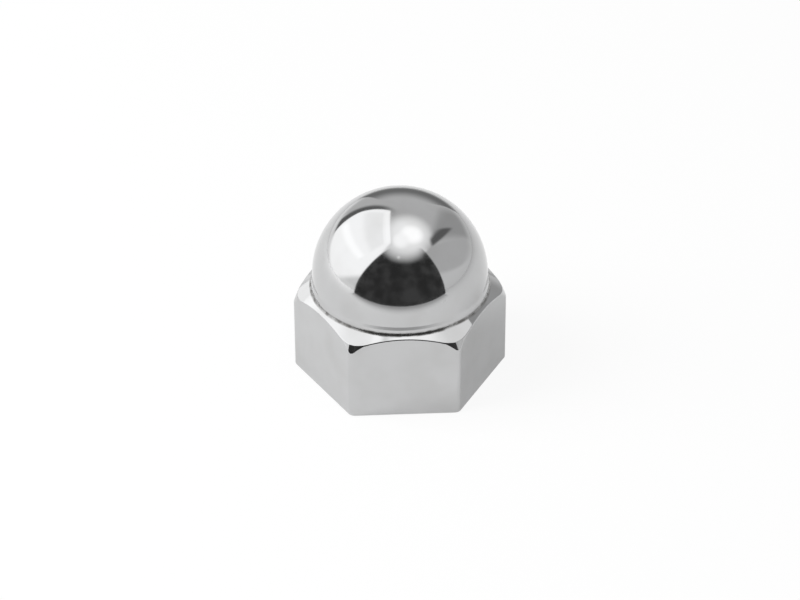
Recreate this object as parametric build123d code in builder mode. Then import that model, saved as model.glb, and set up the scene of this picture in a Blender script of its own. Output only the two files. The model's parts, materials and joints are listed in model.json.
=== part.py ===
from build123d import *
from math import cos, radians, tan
import os

# Domed cap nut: one piece, turned from hexagonal bar, drilled and tapped from below, then plated.
# The centre of its bearing face is the origin, the dome points to +Z and two flats face along Y.

# Hexagonal bar
bar_sides = 6
across_flats = 12.7
bar_edge_radius = 0.5

# Shoulder turned on the hexagon's top: a cone that breaks off steeper at the corners
flat_height = 6.2
shoulder_ledge = 0.3
shoulder_angle = 36.0
corner_break_width = 0.23
corner_break_angle = 72.0
corner_break_radius = 0.3
shoulder_edge_radius = 0.15

# Rounding of the edge round the bearing face
base_edge_radius = 0.1

# Low collar above the shoulder, with a straight skirt and a half-round dome on it
neck_radius = 0.26
collar_height = 0.44
collar_step = 0.07
collar_edge_radius = 0.05
skirt_height = 0.372

# Tapped blind hole, bored to the thread's inner diameter, with a countersunk mouth
thread_diameter = 7.938
thread_pitch = 1.058
mouth_margin = 0.23
mouth_angle = 45.0
drill_point_angle = 118.0
dome_wall = 1.53

# How far the turned outline runs past the bar's corners
overrun = 0.05

# Radii worked out from the sizes above
flat_radius = across_flats / 2
corner_radius = flat_radius / cos(radians(180 / bar_sides))
collar_radius = flat_radius - shoulder_ledge
dome_radius = collar_radius - collar_step
bore_radius = (thread_diameter - thread_pitch) / 2
mouth_radius = thread_diameter / 2 + mouth_margin
turned_radius = corner_radius + overrun
break_radius = corner_radius - corner_break_width

# Heights worked out from the sizes above
neck_z = flat_height + shoulder_ledge * tan(radians(shoulder_angle))
break_z = flat_height - (break_radius - flat_radius) * tan(radians(shoulder_angle))
break_end_z = break_z - (turned_radius - break_radius) * tan(radians(corner_break_angle))
collar_z = neck_z + collar_height
overall_height = collar_z + skirt_height + dome_radius
mouth_z = (mouth_radius - bore_radius) / tan(radians(mouth_angle))
point_z = overall_height - dome_wall
drill_z = point_z - bore_radius / tan(radians(drill_point_angle / 2))

os.makedirs("parts", exist_ok=True)

with BuildPart() as cap_nut:
    # Length of hexagonal bar with its long edges eased
    with BuildSketch() as bar_section:
        RegularPolygon(flat_radius, bar_sides, major_radius=False)
        fillet(bar_section.vertices(), bar_edge_radius)
    extrude(amount=overall_height)

    # Turning takes off all that lies outside this outline
    with BuildSketch(Plane.XZ) as turned_section:
        with BuildLine():
            dome = JernArc((0, overall_height), (1, 0), dome_radius, -90)
            Polyline(
                dome @ 1,
                (dome_radius, collar_z),
                (collar_radius, collar_z),
                (collar_radius, neck_z),
                (break_radius, break_z),
                (turned_radius, break_end_z),
                (turned_radius, 0),
                (0, 0),
                (0, overall_height),
            )
        make_face()
        neck = turned_section.vertices().sort_by_distance((collar_radius, neck_z))[0]
        fillet(neck, neck_radius)
        collar_edge = turned_section.vertices().sort_by_distance((collar_radius, collar_z))[0]
        fillet(collar_edge, collar_edge_radius)
        corner_break = turned_section.vertices().sort_by_distance((break_radius, break_z))[0]
        fillet(corner_break, corner_break_radius)
    revolve(axis=Axis.Z, mode=Mode.INTERSECT)

    # Polishing rounds the arched edges between the shoulder and the flats, and the edge round the base
    curved_edges = cap_nut.edges().filter_by(GeomType.LINE, reverse=True)
    arched_edges = curved_edges.filter_by(GeomType.CIRCLE, reverse=True)
    shoulder_edges = arched_edges.filter_by_position(Axis.Z, flat_height / 2, neck_z)
    fillet(shoulder_edges, shoulder_edge_radius)
    bearing_face = cap_nut.faces().sort_by(Axis.Z)[0]
    fillet(bearing_face.edges(), base_edge_radius)

    # Drilled hole with its countersunk mouth and conical end
    with BuildSketch(Plane.XZ) as hole_section:
        with BuildLine():
            Polyline(
                (0, 0),
                (mouth_radius, 0),
                (bore_radius, mouth_z),
                (bore_radius, drill_z),
                (0, point_z),
                close=True,
            )
        make_face()
    revolve(axis=Axis.Z, mode=Mode.SUBTRACT)

cap_nut.part.label = "cap_nut"
export_step(cap_nut.part, "parts/cap_nut.step")
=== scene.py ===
# A chromed cap nut on a white studio floor, seen from above and in front.
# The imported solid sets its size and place; this script models its skin, with the thread, and its finish.
import json
from cmath import phase, rect
from math import atan2, cos, floor, pi, radians, sin, tan

import bmesh
import bpy
from mathutils import Matrix, Vector


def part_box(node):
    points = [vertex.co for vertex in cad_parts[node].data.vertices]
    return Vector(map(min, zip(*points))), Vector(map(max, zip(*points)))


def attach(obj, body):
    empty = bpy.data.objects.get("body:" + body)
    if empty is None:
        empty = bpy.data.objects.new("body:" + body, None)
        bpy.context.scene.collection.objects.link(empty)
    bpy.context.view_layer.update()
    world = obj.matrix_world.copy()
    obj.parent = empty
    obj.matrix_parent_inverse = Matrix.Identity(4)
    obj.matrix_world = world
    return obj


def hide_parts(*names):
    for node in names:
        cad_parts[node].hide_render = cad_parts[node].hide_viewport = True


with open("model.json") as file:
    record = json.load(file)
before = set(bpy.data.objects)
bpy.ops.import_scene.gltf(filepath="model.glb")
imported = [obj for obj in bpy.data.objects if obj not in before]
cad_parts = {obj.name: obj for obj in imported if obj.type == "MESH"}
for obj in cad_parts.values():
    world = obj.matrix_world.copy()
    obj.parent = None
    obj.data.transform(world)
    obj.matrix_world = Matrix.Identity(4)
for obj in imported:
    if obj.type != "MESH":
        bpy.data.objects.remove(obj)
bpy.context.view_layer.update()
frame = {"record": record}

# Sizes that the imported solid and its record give, in metres like all lengths here
millimetre = 0.001
nut_low, nut_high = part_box("cap_nut")
flat_radius = nut_high.y
overall_height = nut_high.z - nut_low.z
thread_mount = next(mount for mount in frame["record"]["mounts"] if mount["name"] == "thread")
bore_length = thread_mount["dims"]["length_mm"] * millimetre
bore_radius = thread_mount["dims"]["r_mm"] * millimetre
bore_middle = thread_mount["pos_m"][2]

# Hexagonal bar
bar_sides = 6
sector = 2 * pi / bar_sides
bar_edge_radius = 0.0005
corner_centre = (flat_radius - bar_edge_radius) / cos(sector / 2)

# Shoulder turned on the hexagon's top
flat_height = 0.0062
shoulder_ledge = 0.0003
shoulder_slope = radians(36)
shoulder_edge_radius = 0.00012

# Buffing has worn the flats' top corners: there a flat leans in above a line that falls ever steeper
worn_along = 0.00245
worn_fall = 0.42
worn_steepening = 250
worn_lean = 0.37
worn_blend = 0.00007

# Low collar above the shoulder, with a straight skirt and a half-round dome on it
collar_radius = flat_radius - shoulder_ledge
collar_height = 0.00044
collar_step = 0.00007
neck_radius = 0.00026
neck_height = flat_height + shoulder_ledge * tan(shoulder_slope)
collar_top = neck_height + collar_height
dome_radius = collar_radius - collar_step
dome_middle = overall_height - dome_radius

# Buffing has turned the step between collar and skirt into a slight flare
flare_half_height = 0.00014
flare_edge_radius = 0.0004

# Rounding of the edge round the bearing face
base_edge_radius = 0.0001

# Tapped blind hole
mouth_radius = 0.0041995
mouth_edge_radius = 0.00008
mouth_top = bore_middle - bore_length / 2
drill_top = bore_middle + bore_length / 2
point_top = 0.01168
thread_pitch = 0.001058
thread_depth = 0.000529
thread_short_of_drill = 0.0005
thread_end = drill_top - thread_short_of_drill
thread_runout = 0.0012
root_share = 0.125
crest_share = 0.75

# How finely the skin is divided round the axis
corner_steps = 6
flat_steps = 18
flat_crowding = 1.7

# How finely the skin is divided along its section
dome_steps = 44
flare_steps = 4
neck_steps = 10
cone_steps = 12
shoulder_edge_steps = 9
worn_steps = 12
flat_row_shares = (0.03, 0.35, 0.65, 0.97)
base_edge_steps = 6
face_steps = 6
mouth_edge_steps = 4
thread_steps_a_pitch = 16
drill_point_steps = 10

# Small lengths that keep the skin's rows apart, and other settings of its mesh
worn_least = 0.00006
worn_margin = 0.00003
edge_probe = 0.0001
edge_tries = 20
same_point = 1e-9
merge_distance = 1e-8
sharp_angle = radians(28)

# Finishes, in the order of the piece's material slots
POLISHED, FACED, TAPPED = range(3)


def between(start, end, steps):
    """Evenly spaced points of the section from one point to another."""
    shares = [step / steps for step in range(steps + 1)]
    return [(start[0] + (end[0] - start[0]) * s, start[1] + (end[1] - start[1]) * s) for s in shares]


def arc(centre, radius, start, end, steps):
    """Points on an arc of the section. Its angles start straight up and grow outwards."""
    turns = [start + (end - start) * step / steps for step in range(steps + 1)]
    return [(centre[0] + radius * sin(turn), centre[1] + radius * cos(turn)) for turn in turns]


def rounded(before, corner, after, radius, steps):
    """Points on the arc that rounds the section's corner between two straight lines."""
    start, bend, end = (complex(*point) for point in (before, corner, after))
    into = (bend - start) / abs(bend - start)
    out = (end - bend) / abs(end - bend)
    turn = phase(out / into)
    first = bend - into * radius * tan(abs(turn) / 2)
    spoke = into * radius * (-1j if turn > 0 else 1j)
    points = [first - spoke + spoke * rect(1, turn * step / steps) for step in range(steps + 1)]
    return [(point.real, point.imag) for point in points]


def corner_turn(normal_turn):
    """The angle, seen from the axis, of the point on a rounded corner whose normal turns that far."""
    across = bar_edge_radius * sin(normal_turn)
    return atan2(across, corner_centre + bar_edge_radius * cos(normal_turn))


# Where a flat passes into its rounded corner: as an angle from the corner, and along the flat
corner_end = corner_turn(sector / 2)
flat_end = flat_radius * tan(sector / 2 - corner_end)
side_end = flat_radius * tan(sector / 2)


def from_middle(angle):
    """How far an angle is from the middle of its flat."""
    return abs(angle % sector - sector / 2)


def flank_reach(angle):
    """How far the hexagon reaches from the axis at an angle, with its upright edges rounded."""
    from_corner = sector / 2 - from_middle(angle)
    if from_corner > corner_end:
        return flat_radius / cos(from_middle(angle))
    across = corner_centre * sin(from_corner)
    return corner_centre * cos(from_corner) + (bar_edge_radius**2 - across**2) ** 0.5


def column_angles():
    """Angles of the skin's upright rows: close together round the corners, wider on the flats."""
    half = [corner_turn(sector / 2 * step / corner_steps) for step in range(corner_steps + 1)]
    flat_width = sector / 2 - corner_end
    shares = [(step / flat_steps) ** flat_crowding for step in range(1, flat_steps + 1)]
    half += [corner_end + flat_width * share for share in shares]
    whole = half + [sector - turn for turn in reversed(half[1:-1])]
    return [side * sector + turn for side in range(bar_sides) for turn in whole]


def cone_height(radius):
    """Height of the shoulder at a distance from the axis."""
    return flat_height - (radius - flat_radius) * tan(shoulder_slope)


def worn_start(angle):
    """The height above which a flat leans in. In the flat's middle that is past its arched edge."""
    along = flat_radius * tan(from_middle(angle))
    past = min(along, flat_end) - worn_along
    end_slope = worn_fall + 2 * worn_steepening * (flat_end - worn_along)
    on_corner = max(0, along - flat_end)
    levelling = on_corner * (1 - on_corner / (side_end - flat_end) / 2)
    first_height = cone_height((flat_radius**2 + worn_along**2) ** 0.5)
    fall = past * (worn_fall + worn_steepening * max(0, past))
    return first_height - fall - end_slope * levelling


def flank_radius(angle, height):
    """How far the hexagon reaches at an angle and a height, with its worn corners."""
    past = height - worn_start(angle)
    blended = (min(past, worn_blend) + worn_blend) ** 2 / (4 * worn_blend)
    inset = blended + max(0, past - worn_blend) if past > -worn_blend else 0
    return flank_reach(angle) - worn_lean * inset / cos(from_middle(angle))


def shoulder_edge(angle):
    """Where the shoulder's cone meets the flank, before the edge is rounded."""
    radius = flank_reach(angle)
    for _ in range(edge_tries):
        radius = flank_radius(angle, cone_height(radius))
    return radius, cone_height(radius)


def flank_rows(angle, top):
    """Heights of the flank's rows: close together where it is worn, and a few on the flat below."""
    worn_end = min(top - worn_least, worn_start(angle) - worn_blend - worn_margin)
    worn_rows = [top + (worn_end - top) * row / worn_steps for row in range(worn_steps + 1)]
    return worn_rows + [worn_end + (base_edge_radius - worn_end) * share for share in flat_row_shares]


def outer_section(angle):
    """Section of the nut's outside at an angle, from the dome's top to the bearing face."""
    skirt_top = (dome_radius, dome_middle)
    flare_top = (dome_radius, collar_top + flare_half_height)
    flare_foot = (collar_radius, collar_top - flare_half_height)
    neck = (collar_radius, neck_height)
    edge = shoulder_edge(angle)
    probe_height = edge[1] - edge_probe
    below_edge = (flank_radius(angle, probe_height), probe_height)
    foot = (flank_reach(angle), 0)
    neck_curve = rounded(flare_foot, neck, edge, neck_radius, neck_steps)
    edge_curve = rounded(neck, edge, below_edge, shoulder_edge_radius, shoulder_edge_steps)
    flank = [(flank_radius(angle, height), height) for height in flank_rows(angle, edge_curve[-1][1])]
    return [
        arc((0, dome_middle), dome_radius, 0, pi / 2, dome_steps),
        rounded(skirt_top, flare_top, flare_foot, flare_edge_radius, flare_steps),
        rounded(flare_top, flare_foot, neck, flare_edge_radius, flare_steps),
        neck_curve,
        between(neck_curve[-1], edge_curve[0], cone_steps),
        edge_curve,
        flank[1:],
        rounded((foot[0], base_edge_radius), foot, (0, 0), base_edge_radius, base_edge_steps),
    ]


def thread_radius(height, angle):
    """The right-hand thread's surface, cut by the mouth's cone and running out at the far end."""
    turns = height / thread_pitch - angle / (2 * pi)
    from_root = 2 * abs(turns - floor(turns) - 0.5)
    groove = (crest_share - from_root) / (crest_share - root_share)
    fade = (thread_end - height) / thread_runout
    cut = thread_depth * min(1, max(0, groove)) * min(1, max(0, fade))
    return max(bore_radius + cut, mouth_radius - height * (mouth_radius - bore_radius) / mouth_top)


def hole_section(reach, angle):
    """Section of the bearing face, the hole's mouth, its thread and its drilled end."""
    face_edge = (reach - base_edge_radius, 0)
    mouth_foot = (mouth_radius, 0)
    mouth_end = (bore_radius, mouth_top)
    lip = rounded(face_edge, mouth_foot, mouth_end, mouth_edge_radius, mouth_edge_steps)
    lip_top = lip[-1][1]
    rings = round((drill_top - lip_top) / thread_pitch * thread_steps_a_pitch)
    heights = [lip_top + (drill_top - lip_top) * (ring + 1) / rings for ring in range(rings)]
    return [
        between(face_edge, lip[0], face_steps),
        lip,
        [(thread_radius(height, angle), height) for height in heights],
        between((bore_radius, drill_top), (0, point_top), drill_point_steps),
    ]


def joined(parts):
    """One chain of points from several, without the points at which they meet twice."""
    chain = []
    for part in parts:
        repeats = chain and max(abs(a - b) for a, b in zip(chain[-1], part[0])) < same_point
        chain += part[1:] if repeats else part
    return chain


def nut_section(angle):
    """The nut's section at an angle, from the dome's top round to the hole's end, and each ring's finish."""
    outside = joined(outer_section(angle))
    face, lip, thread, drilled_end = hole_section(flank_reach(angle), angle)
    whole = joined([outside, face, lip, thread, drilled_end])
    face_rings = len(joined([outside, face])) - len(outside)
    hole_rings = len(whole) - len(outside) - face_rings
    finishes = [POLISHED] * len(outside) + [FACED] * face_rings + [TAPPED] * hole_rings
    return whole, finishes


def new_object(name, bm, materials):
    """A scene object at the origin that takes over a bmesh."""
    mesh = bpy.data.meshes.new(name)
    bm.to_mesh(mesh)
    bm.free()
    for material in materials:
        mesh.materials.append(material)
    made = bpy.data.objects.new(name, mesh)
    bpy.context.scene.collection.objects.link(made)
    return made


def plated_nut(materials):
    """The nut's skin: its section spun about the axis, and each row fitted to the hexagon and thread."""
    angles = column_angles()
    sections = [nut_section(angle)[0] for angle in angles]
    finishes = nut_section(0)[1]
    bm = bmesh.new()
    ring_of = bm.verts.layers.int.new("ring")
    chain = [bm.verts.new((radius, 0, height)) for radius, height in sections[0]]
    for ring, vert in enumerate(chain):
        vert[ring_of] = ring
    edges = [bm.edges.new(pair) for pair in zip(chain, chain[1:])]
    bmesh.ops.spin(
        bm,
        geom=chain + edges,
        cent=(0, 0, 0),
        axis=(0, 0, 1),
        angle=2 * pi,
        steps=len(angles),
        use_merge=True,
    )
    for vert in bm.verts:
        column = round(atan2(vert.co.y, vert.co.x) / (2 * pi) * len(angles)) % len(angles)
        radius, height = sections[column][vert[ring_of]]
        vert.co = (radius * cos(angles[column]), radius * sin(angles[column]), height)
    for face in bm.faces:
        face.material_index = finishes[max(vert[ring_of] for vert in face.verts)]
        face.smooth = True
    bmesh.ops.remove_doubles(bm, verts=bm.verts, dist=merge_distance)
    bmesh.ops.recalc_face_normals(bm, faces=bm.faces)
    nut = new_object("plated_cap_nut", bm, materials)
    nut.data.set_sharp_from_angle(angle=sharp_angle)
    return nut


class Wire:
    """A node's output. Sums of wires add Math nodes to the tree, and add makes any other node."""

    def __init__(self, tree, socket=None):
        self.tree = tree
        self.socket = socket

    def add(self, kind, settings, sockets, output=0):
        """Adds a node, sets its settings and then gives its sockets their values or links."""
        node = self.tree.nodes.new(kind)
        for name, value in settings.items():
            setattr(node, name, value)
        for name, value in sockets.items():
            if isinstance(value, Wire):
                self.tree.links.new(value.socket, node.inputs[name])
            else:
                node.inputs[name].default_value = value
        return Wire(self.tree, node.outputs[output] if node.outputs else None)

    def other(self, output):
        """Another output of the same node."""
        return Wire(self.tree, self.socket.node.outputs[output])

    def maths(self, operation, first, second):
        """The result of a Math node."""
        return self.add("ShaderNodeMath", {"operation": operation}, {0: first, 1: second})

    def __add__(self, value):
        return self.maths("ADD", self, value)

    def __radd__(self, value):
        return self.maths("ADD", value, self)

    def __sub__(self, value):
        return self.maths("SUBTRACT", self, value)

    def __rsub__(self, value):
        return self.maths("SUBTRACT", value, self)

    def __mul__(self, value):
        return self.maths("MULTIPLY", self, value)

    def __rmul__(self, value):
        return self.maths("MULTIPLY", value, self)

    def __truediv__(self, value):
        return self.maths("DIVIDE", self, value)

    def __rtruediv__(self, value):
        return self.maths("DIVIDE", value, self)

    def __pow__(self, value):
        return self.maths("POWER", self, value)

    def eased(self, start, end):
        """0 before start, 1 past end and a smooth rise between them. Start may be the larger."""
        settings = {"interpolation_type": "SMOOTHSTEP"}
        return self.add("ShaderNodeMapRange", settings, {"Value": self, "From Min": start, "From Max": end})


def new_material(name):
    """An empty material and a wire to build its nodes from."""
    material = bpy.data.materials.new(name)
    material.use_nodes = True
    material.node_tree.nodes.clear()
    return material, Wire(material.node_tree)


def object_point(start):
    """The place of a point on a piece, in the piece's own coordinates."""
    return start.add("ShaderNodeTexCoord", {}, {}, "Object")


def coordinate(start, axis):
    """One of that place's three coordinates."""
    return start.add("ShaderNodeSeparateXYZ", {}, {"Vector": object_point(start)}, axis)


def noise(vector, size, detail=2.0):
    """Soft noise with patches of about that size."""
    sockets = {"Vector": vector, "Scale": 1 / size, "Detail": detail}
    return vector.add("ShaderNodeTexNoise", {}, sockets, "Fac")


def mixed(share, first, second):
    """A colour between two, by share. A Mix node's colours go in at 6 and 7 and come out at 2."""
    settings = {"data_type": "RGBA"}
    return share.add("ShaderNodeMix", settings, {0: share, 6: first, 7: second}, 2)


def grey(level):
    """A colour without a tint."""
    return (level, level, level, 1)


# Fine marks round the axis come from a ring of noise with this radius, in spacings of the marks
mark_ring = 9


class Place:
    """Where a point of the nut lies, for its materials: its coordinates and its distance from the axis."""

    def __init__(self, start):
        self.point = object_point(start)
        self.x = start.add("ShaderNodeSeparateXYZ", {}, {"Vector": self.point}, "X")
        self.y = self.x.other("Y")
        self.height = self.x.other("Z")
        self.radius = (self.x**2 + self.y**2) ** 0.5

    def marks(self, along, spacing):
        """Noise drawn out round the axis, in fine lines that are spaced along a length of the section."""
        scale = spacing * mark_ring / (self.radius + mark_ring * spacing)
        sockets = {"X": self.x * scale, "Y": self.y * scale, "Z": along}
        lines = along.add("ShaderNodeCombineXYZ", {}, sockets)
        return noise(lines, spacing)


def metal(start, colour, roughness, relief):
    """The surface of bare or plated metal, with its relief in metres."""
    normal = start.add("ShaderNodeBump", {}, {"Strength": 1.0, "Distance": 1.0, "Height": relief})
    sockets = {"Base Color": colour, "Metallic": 1.0, "Roughness": roughness, "Normal": normal}
    surface = start.add("ShaderNodeBsdfPrincipled", {}, sockets)
    start.add("ShaderNodeOutputMaterial", {}, {"Surface": surface})


# Bright plating
chrome = (0.553, 0.556, 0.560, 1)
chrome_haze = (0.520, 0.521, 0.522, 1)
chrome_roughness = 0.06
haze_size = 0.0025
haze_range = (0.35, 0.75)
haze_roughness = 0.02

# Faint waves and buffing lines in it
wave_size = 0.0016
wave_detail = 1.0
wave_height = 0.0000024
buffing_spacing = 0.00009
buffing_height = 0.00000006
buffing_roughness = 0.02

# Painted shade and broken grime in the neck crease
neck_shade_and_grime = (0.11, 0.106, 0.10, 1)
shade_and_grime_reach = (0.0002, 0.00006)
shade_and_grime_share = 0.9
grime_height = 0.00001
grime_roughness = 0.3
speckle_size = 0.0005
speckle_detail = 4.0
speckle_range = (0.38, 0.62)
speckle_share = 0.5


def polished_chrome():
    """Bright plating over a buffed surface: faint waves and buffing lines, and painted shade with broken
    grime in the neck.
    """
    material, start = new_material("polished_chrome")
    place = Place(start)
    to_neck = ((place.radius - collar_radius) ** 2 + (place.height - neck_height) ** 2) ** 0.5
    speckle = noise(place.point, speckle_size, speckle_detail).eased(*speckle_range)
    in_neck = to_neck.eased(*shade_and_grime_reach) * (1 - speckle_share + speckle * speckle_share)
    haze = noise(place.point, haze_size).eased(*haze_range)
    buffing = place.marks(place.height - place.radius, buffing_spacing)
    waves = noise(place.point, wave_size, wave_detail)
    # Near the neck crease the colour turns dark: painted shade with some grime, broken by speckles.
    colour = mixed(in_neck * shade_and_grime_share, mixed(haze, chrome, chrome_haze), neck_shade_and_grime)
    roughness = chrome_roughness + haze * haze_roughness
    roughness = roughness + in_neck * grime_roughness + buffing * buffing_roughness
    relief = waves * wave_height + buffing * buffing_height + in_neck * grime_height
    metal(start, colour, roughness, relief)
    return material


# Turned bearing face
face_roughness = 0.14
face_haze_size = 0.0012
face_haze_roughness = 0.08
ring_spacing = 0.00011
ring_height = 0.000004
ring_roughness = 0.1


def faced_chrome():
    """Plating over the turned bearing face, with the rings that facing leaves."""
    material, start = new_material("faced_chrome")
    place = Place(start)
    rings = place.marks(place.radius, ring_spacing)
    haze = noise(place.point, face_haze_size)
    colour = mixed(haze, chrome, chrome_haze)
    roughness = face_roughness + rings * ring_roughness + haze * face_haze_roughness
    metal(start, colour, roughness, rings * ring_height)
    return material


# Metal of the hole
bare_metal = (0.44, 0.43, 0.415, 1)
groove_shade = (0.27, 0.255, 0.24, 1)
groove_share = 0.7
patch_share = 0.3
patch_size = 0.0009
patch_detail = 4.0
patch_roughness = 0.15
cutting_spacing = 0.00007
cutting_height = 0.000005
cutting_roughness = 0.12
tapped_roughness = 0.3


def tapped_metal():
    """The hole's thinly plated metal: dull, darker in the thread's grooves with painted shade, and with fine
    cutting marks.
    """
    material, start = new_material("tapped_metal")
    place = Place(start)
    depth = place.radius.eased(bore_radius, bore_radius + thread_depth)
    cutting = place.marks(place.height, cutting_spacing)
    patches = noise(place.point, patch_size, patch_detail)
    colour = mixed(depth * groove_share + patches * patch_share, bare_metal, groove_shade)
    roughness = tapped_roughness + cutting * cutting_roughness + patches * patch_roughness
    metal(start, colour, roughness, cutting * cutting_height)
    return material


# White paper under the nut
floor_colour = grey(0.86)
floor_white_to_camera = 0.9
floor_white_to_metal = 0.3
floor_radius = 3.0
floor_drop = 0.00001
floor_segments = 96


def white_floor():
    """White paper: nearly plain white to the camera, less so in the metal, with the nut's shadow on it."""
    material, start = new_material("white_floor")
    path = start.add("ShaderNodeLightPath", {}, {}, "Is Camera Ray")
    white = path * floor_white_to_camera + path.other("Is Glossy Ray") * floor_white_to_metal
    white = white + path.other("Is Transmission Ray") * floor_white_to_metal
    paper = start.add("ShaderNodeBsdfDiffuse", {}, {"Color": floor_colour})
    plain = start.add("ShaderNodeEmission", {}, {"Color": grey(1), "Strength": 1.0})
    surface = start.add("ShaderNodeMixShader", {}, {0: white, 1: paper, 2: plain})
    start.add("ShaderNodeOutputMaterial", {}, {"Surface": surface})
    return material


def studio_floor():
    """The floor, a hair below the bearing face."""
    bm = bmesh.new()
    bmesh.ops.create_circle(bm, cap_ends=True, segments=floor_segments, radius=floor_radius)
    bmesh.ops.translate(bm, verts=bm.verts, vec=(0, 0, -floor_drop))
    return new_object("studio_floor", bm, [white_floor()])


def direction(azimuth, elevation):
    """A direction from the nut. Azimuth 0 is in front and 90 is to the right."""
    turn = radians(azimuth)
    rise = radians(elevation)
    return Vector((sin(turn) * cos(rise), -cos(turn) * cos(rise), sin(rise)))


def only_in_metal(made):
    """Hides a studio piece from everything but the metal."""
    made.visible_camera = False
    made.visible_diffuse = False
    made.visible_transmission = False
    made.visible_volume_scatter = False
    made.visible_shadow = False
    return made


def by_direction(start):
    """A function that says how far the direction from the dome's middle to a point goes along a vector."""

    def vector_maths(operation, first, second=(0, 0, 0), output="Vector"):
        return start.add("ShaderNodeVectorMath", {"operation": operation}, {0: first, 1: second}, output)

    away = vector_maths("SUBTRACT", object_point(start), (0, 0, dome_middle))
    toward = vector_maths("NORMALIZE", away)

    def along(vector):
        return vector_maths("DOT_PRODUCT", toward, vector, "Value")

    return along


def spot(azimuth, elevation, whole, gone):
    """A round patch: whole within one angle from its middle, and gone past another."""

    def share(along):
        return along(direction(azimuth, elevation)).eased(cos(radians(gone)), cos(radians(whole)))

    return share


def panel(*corners):
    """A straight-edged patch. Corners are azimuth, elevation and the softness of the edge to the next one,
    counter-clockwise as seen from the nut."""

    def share(along):
        rim = [direction(*corner[:2]) for corner in corners]
        whole = 1
        for first, second, corner in zip(rim, rim[1:] + rim[:1], corners):
            softness = corner[2]
            whole = whole * along(first.cross(second).normalized()).eased(-softness, softness)
        return whole

    return share


def below(whole, gone):
    """A band all round the tent's foot: whole under one elevation, and gone above another."""

    def share(along):
        return along(direction(0, 90)).eased(sin(radians(gone)), sin(radians(whole)))

    return share


# The light tent
tent_radius = 0.3
tent_segments = 48
tent_rings = 24
tent_light = 0.7

# The tent's patches in the order in which they overlap: light and shape
tent_patches = {
    "left_paper": (1.0, panel((-150, -8, 0.02), (-50, -8, 0.02), (-50, 20, 0.02), (-150, 12, 0.02))),
    "right_paper": (0.82, panel((45, -8, 0.02), (140, -8, 0.05), (134, 8, 0.05), (45, 24, 0.02))),
    "front_roof": (1.1, panel((-60, 30, 0.05), (56, 30, 0.1), (58, 60, 0.12), (-33, 72, 0.06))),
    "roof_glow": (1.45, spot(76, 80, 8, 33)),
    "roof_core": (1.85, spot(74, 76, 4, 16)),
    "front_core": (1.65, spot(4, 77, 2, 13)),
    "small_bulb": (1.9, spot(-5.5, 54.6, 0.6, 2.4)),
    "right_back": (
        0.46,
        panel(
            (128, -6, 0.1), (150, -6, 0.12), (146, 24, 0.15),
            (124, 46, 0.1), (100, 54, 0.1), (92, 46, 0.1),
        ),
    ),
    "dark_wedge": (
        0.15,
        panel(
            (72, 49, 0.03), (98, 40, 0.03), (122, 25, 0.03),
            (113, 43, 0.06), (98, 52, 0.06), (83, 55, 0.05),
        ),
    ),
    "right_panel": (
        0.64,
        panel(
            (45, 17, 0.04), (82.5, 9, 0.05), (115, -7, 0.05), (123, 2, 0.05), (127, 12, 0.03),
            (122.4, 27.2, 0.012), (98.6, 42.9, 0.012), (68, 50, 0.02), (45, 54, 0.04),
        ),
    ),
    "dark_seam": (0.15, panel((-147, 5, 0.03), (-128, 5, 0.03), (-158, 60, 0.2), (-172, 51, 0.05))),
    "tent_foot": (0.78, below(-3, 9)),
    "left_foot": (1.1, panel((-165, -12, 0.02), (-50, -12, 0.02), (-50, 3, 0.06), (-165, 3, 0.06))),
    "softbox": (
        1.61,
        panel(
            (-134.6, 6, 0.05), (-94, -5, 0.06), (-58, 18, 0.03), (-45, 50, 0.03),
            (-37, 71, 0.012), (-168.2, 55.1, 0.012), (-147, 27.5, 0.012),
        ),
    ),
    "softbox_dim_side": (
        1.45,
        panel((-64.5, 48.2, 0.04), (-54.6, 65.5, 0.015), (-157, 54.6, 0.03), (-146.2, 35.3, 0.08)),
    ),
    "softbox_streak": (
        1.77,
        panel((-74.5, 31.5, 0.03), (-69.6, 39.1, 0.05), (-135.5, 22.7, 0.06), (-135.5, 14.9, 0.05)),
    ),
    "softbox_rim": (
        1.68,
        panel((-50.8, 68.4, 0.012), (-45.1, 73, 0.012), (-166.5, 56.9, 0.012), (-161.4, 54.8, 0.012)),
    ),
}


def tent_colour(start):
    """The tent's light by direction from the nut."""
    along = by_direction(start)
    light = tent_light
    for level, shape in tent_patches.values():
        light = light + (level - light) * shape(along)
    return light


def light_tent():
    """A white tent over the nut. Its panels and openings are what the chrome mirrors."""
    material, start = new_material("tent_light")
    light = start.add("ShaderNodeEmission", {}, {"Color": tent_colour(start), "Strength": 1.0})
    start.add("ShaderNodeOutputMaterial", {}, {"Surface": light})
    bm = bmesh.new()
    bmesh.ops.create_uvsphere(bm, u_segments=tent_segments, v_segments=tent_rings, radius=tent_radius)
    everything = bm.verts[:] + bm.edges[:] + bm.faces[:]
    bmesh.ops.bisect_plane(bm, geom=everything, plane_co=(0, 0, 0), plane_no=(0, 0, 1), clear_inner=True)
    return only_in_metal(new_object("light_tent", bm, [material]))


def card(name, corners, look):
    """A studio card that only shows in the metal. Its look gives how solid it is, and its light."""
    material, start = new_material(name)
    solid, light = look(start)
    lit = start.add("ShaderNodeEmission", {}, {"Color": light, "Strength": 1.0})
    clear = start.add("ShaderNodeBsdfTransparent", {}, {})
    surface = start.add("ShaderNodeMixShader", {}, {0: solid, 1: clear, 2: lit})
    start.add("ShaderNodeOutputMaterial", {}, {"Surface": surface})
    bm = bmesh.new()
    bm.faces.new([bm.verts.new(corner) for corner in corners])
    return only_in_metal(new_object(name, bm, [material]))


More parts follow.
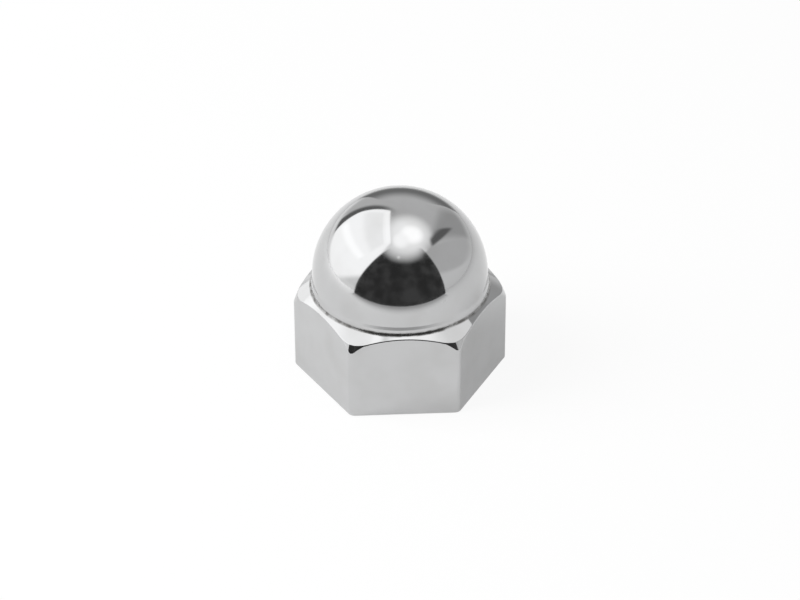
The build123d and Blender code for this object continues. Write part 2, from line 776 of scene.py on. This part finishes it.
# The tent's wide opening in front, through which the dark room shows
opening_y = -0.057
opening_left = -0.135
opening_right = 0.1
opening_top = 0.15
opening_softness = 0.015
opening_rim = [
    (-66, -15), (55, -15), (54.6, 10), (53.6, 40), (52, 62), (40, 75),
    (-33, 68), (-47, 57), (-55.5, 47), (-58, 30), (-59.8, 10),
]
opening_shape = panel(*[(azimuth, elevation, opening_softness) for azimuth, elevation in opening_rim])
opening_glow = spot(20, 77, 14, 34)
opening_dark = 0.035
opening_haze = 0.035
opening_patch = 0.02
opening_patch_range = (0.35, 0.7)

# The shade that the opening leaves on the floor before it
sill_y = (-0.024, -0.05)
sill_outer_x = (-0.1, 0.075)
sill_inner_x = (-0.055, 0.04)
sill_light = 0.5

# The low dark strip at the tent's back
strip_back = 0.11
strip_corners = [(-0.026, 0), (0.066, 0), (0.06, 0.055), (0.046, 0.08), (-0.018, 0.08), (-0.026, 0.06)]
strip_dark = 0.22
strip_fade = (0.025, 0.08)
strip_foot = 0.014
strip_foot_light = 0.6


def opening_look(start):
    """Dark with faint patches, and fading upwards into the tent's roof."""
    along = by_direction(start)
    patches = noise(object_point(start), opening_patch).eased(*opening_patch_range)
    solid = opening_shape(along) * (1 - opening_glow(along))
    return solid, opening_dark + opening_haze * patches


def sill_look(start):
    """Grey, and fading out towards the nut."""
    return coordinate(start, "Y").eased(*sill_y), grey(sill_light)


def strip_look(start):
    """Dark, and fading upwards into the tent and downwards into the floor."""
    height = coordinate(start, "Z")
    light = strip_dark + (tent_light - strip_dark) * height.eased(*strip_fade)
    return 1.0, light + (strip_foot_light - strip_dark) * height.eased(strip_foot, 0)


def tent_openings():
    """The dark cards in front and at the back, and the shade on the floor."""
    opening = [
        (opening_left, opening_y, 0),
        (opening_right, opening_y, 0),
        (opening_right, opening_y, opening_top),
        (opening_left, opening_y, opening_top),
    ]
    sill = [(x, opening_y, 0) for x in sill_outer_x]
    sill += [(x, sill_y[0], 0) for x in reversed(sill_inner_x)]
    strip = [(x, strip_back, z) for x, z in strip_corners]
    return [
        card("front_opening", opening, opening_look),
        card("front_sill", sill, sill_look),
        card("back_strip", strip, strip_look),
    ]


# Small level reflectors beside the shoulder: light, and corners clockwise as seen from above
reflector_height = 0.0079
reflector_shapes = {
    "left_reflector": (
        1.45,
        [(-0.0076, 0.0028), (-0.0136, 0.0034), (-0.0194, 0.0202), (-0.0121, 0.0178)],
    ),
    "right_reflector": (
        1.15,
        [(0.0033, -0.0056), (0.0055, -0.00375), (0.007, -0.0044), (0.0048, -0.007)],
    ),
    "dim_reflector": (
        0.42,
        [(0.0055, -0.00375), (0.0073, -0.0005), (0.0093, -0.0007), (0.007, -0.0044)],
    ),
}


def lit_beneath(light):
    """The look of a card that glows on its underside and isn't there from above."""

    def look(start):
        return 1 - start.add("ShaderNodeNewGeometry", {}, {}, "Backfacing"), grey(light)

    return look


def reflectors():
    """Cards that brighten the shoulder. They hang so low that the dome doesn't mirror them."""
    return [
        card(name, [(x, y, reflector_height) for x, y in corners], lit_beneath(light))
        for name, (light, corners) in reflector_shapes.items()
    ]


def lamp(name, azimuth, elevation, distance, size, energy):
    """A soft lamp that points at the nut. It lights the floor, and the metal mirrors the tent instead."""
    light = bpy.data.lights.new(name, "AREA")
    light.shape = "SQUARE"
    light.size = size
    light.energy = energy
    made = bpy.data.objects.new(name, light)
    back = direction(azimuth, elevation)
    made.location = Vector((0, 0, dome_middle)) + distance * back
    made.rotation_euler = back.to_track_quat("Z", "Y").to_euler()
    made.visible_camera = False
    made.visible_glossy = False
    bpy.context.scene.collection.objects.link(made)


# Even light from all round on what isn't metal
world_fill = 0.36


def studio_world():
    """White all round for the camera and the metal, and a dimmer even light for the rest."""
    world = bpy.data.worlds.new("studio")
    world.use_nodes = True
    world.node_tree.nodes.clear()
    start = Wire(world.node_tree)
    path = start.add("ShaderNodeLightPath", {}, {}, "Is Camera Ray")
    seen = path + path.other("Is Glossy Ray") + path.other("Is Transmission Ray")
    colour = mixed(seen, grey(world_fill), grey(1))
    light = start.add("ShaderNodeBackground", {}, {"Color": colour, "Strength": 1.0})
    start.add("ShaderNodeOutputWorld", {}, {"Surface": light})
    bpy.context.scene.world = world


# The camera stands where the photo was taken from
camera_azimuth = radians(-2.692)
camera_elevation = radians(34.968)
camera_roll = radians(-0.237)
camera_distance = 0.214383
camera_aim = Vector((-0.000002, 0, 0.0050191))
camera_lens = 141.28
camera_sensor = 36.0
camera_near = 0.001


def photo_camera():
    """The camera, turned about the nut's axis after it is set up straight in front."""
    back = Vector((0, -cos(camera_elevation), sin(camera_elevation)))
    right = Vector((cos(camera_roll), 0, 0)) + sin(camera_roll) * back.cross(Vector((1, 0, 0)))
    up = back.cross(right)
    turn = Matrix.Rotation(camera_azimuth, 4, "Z")
    place = Matrix((right, up, back)).transposed().to_4x4()
    place.translation = camera_aim + camera_distance * back
    data = bpy.data.cameras.new("photo_camera")
    data.sensor_width = camera_sensor
    data.lens = camera_lens
    data.clip_start = camera_near
    camera = bpy.data.objects.new("photo_camera", data)
    camera.matrix_world = turn @ place
    bpy.context.scene.collection.objects.link(camera)
    bpy.context.scene.camera = camera


nut = plated_nut([polished_chrome(), faced_chrome(), tapped_metal()])
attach(nut, "root")
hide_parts("cap_nut")
studio_floor()
light_tent()
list(tent_openings())
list(reflectors())
lamp("key_lamp", azimuth=-86, elevation=38, distance=0.26, size=0.2, energy=0.75)
lamp("top_lamp", azimuth=30, elevation=75, distance=0.3, size=0.16, energy=0.2)
studio_world()
photo_camera()
bpy.context.scene.view_settings.view_transform = "Standard"
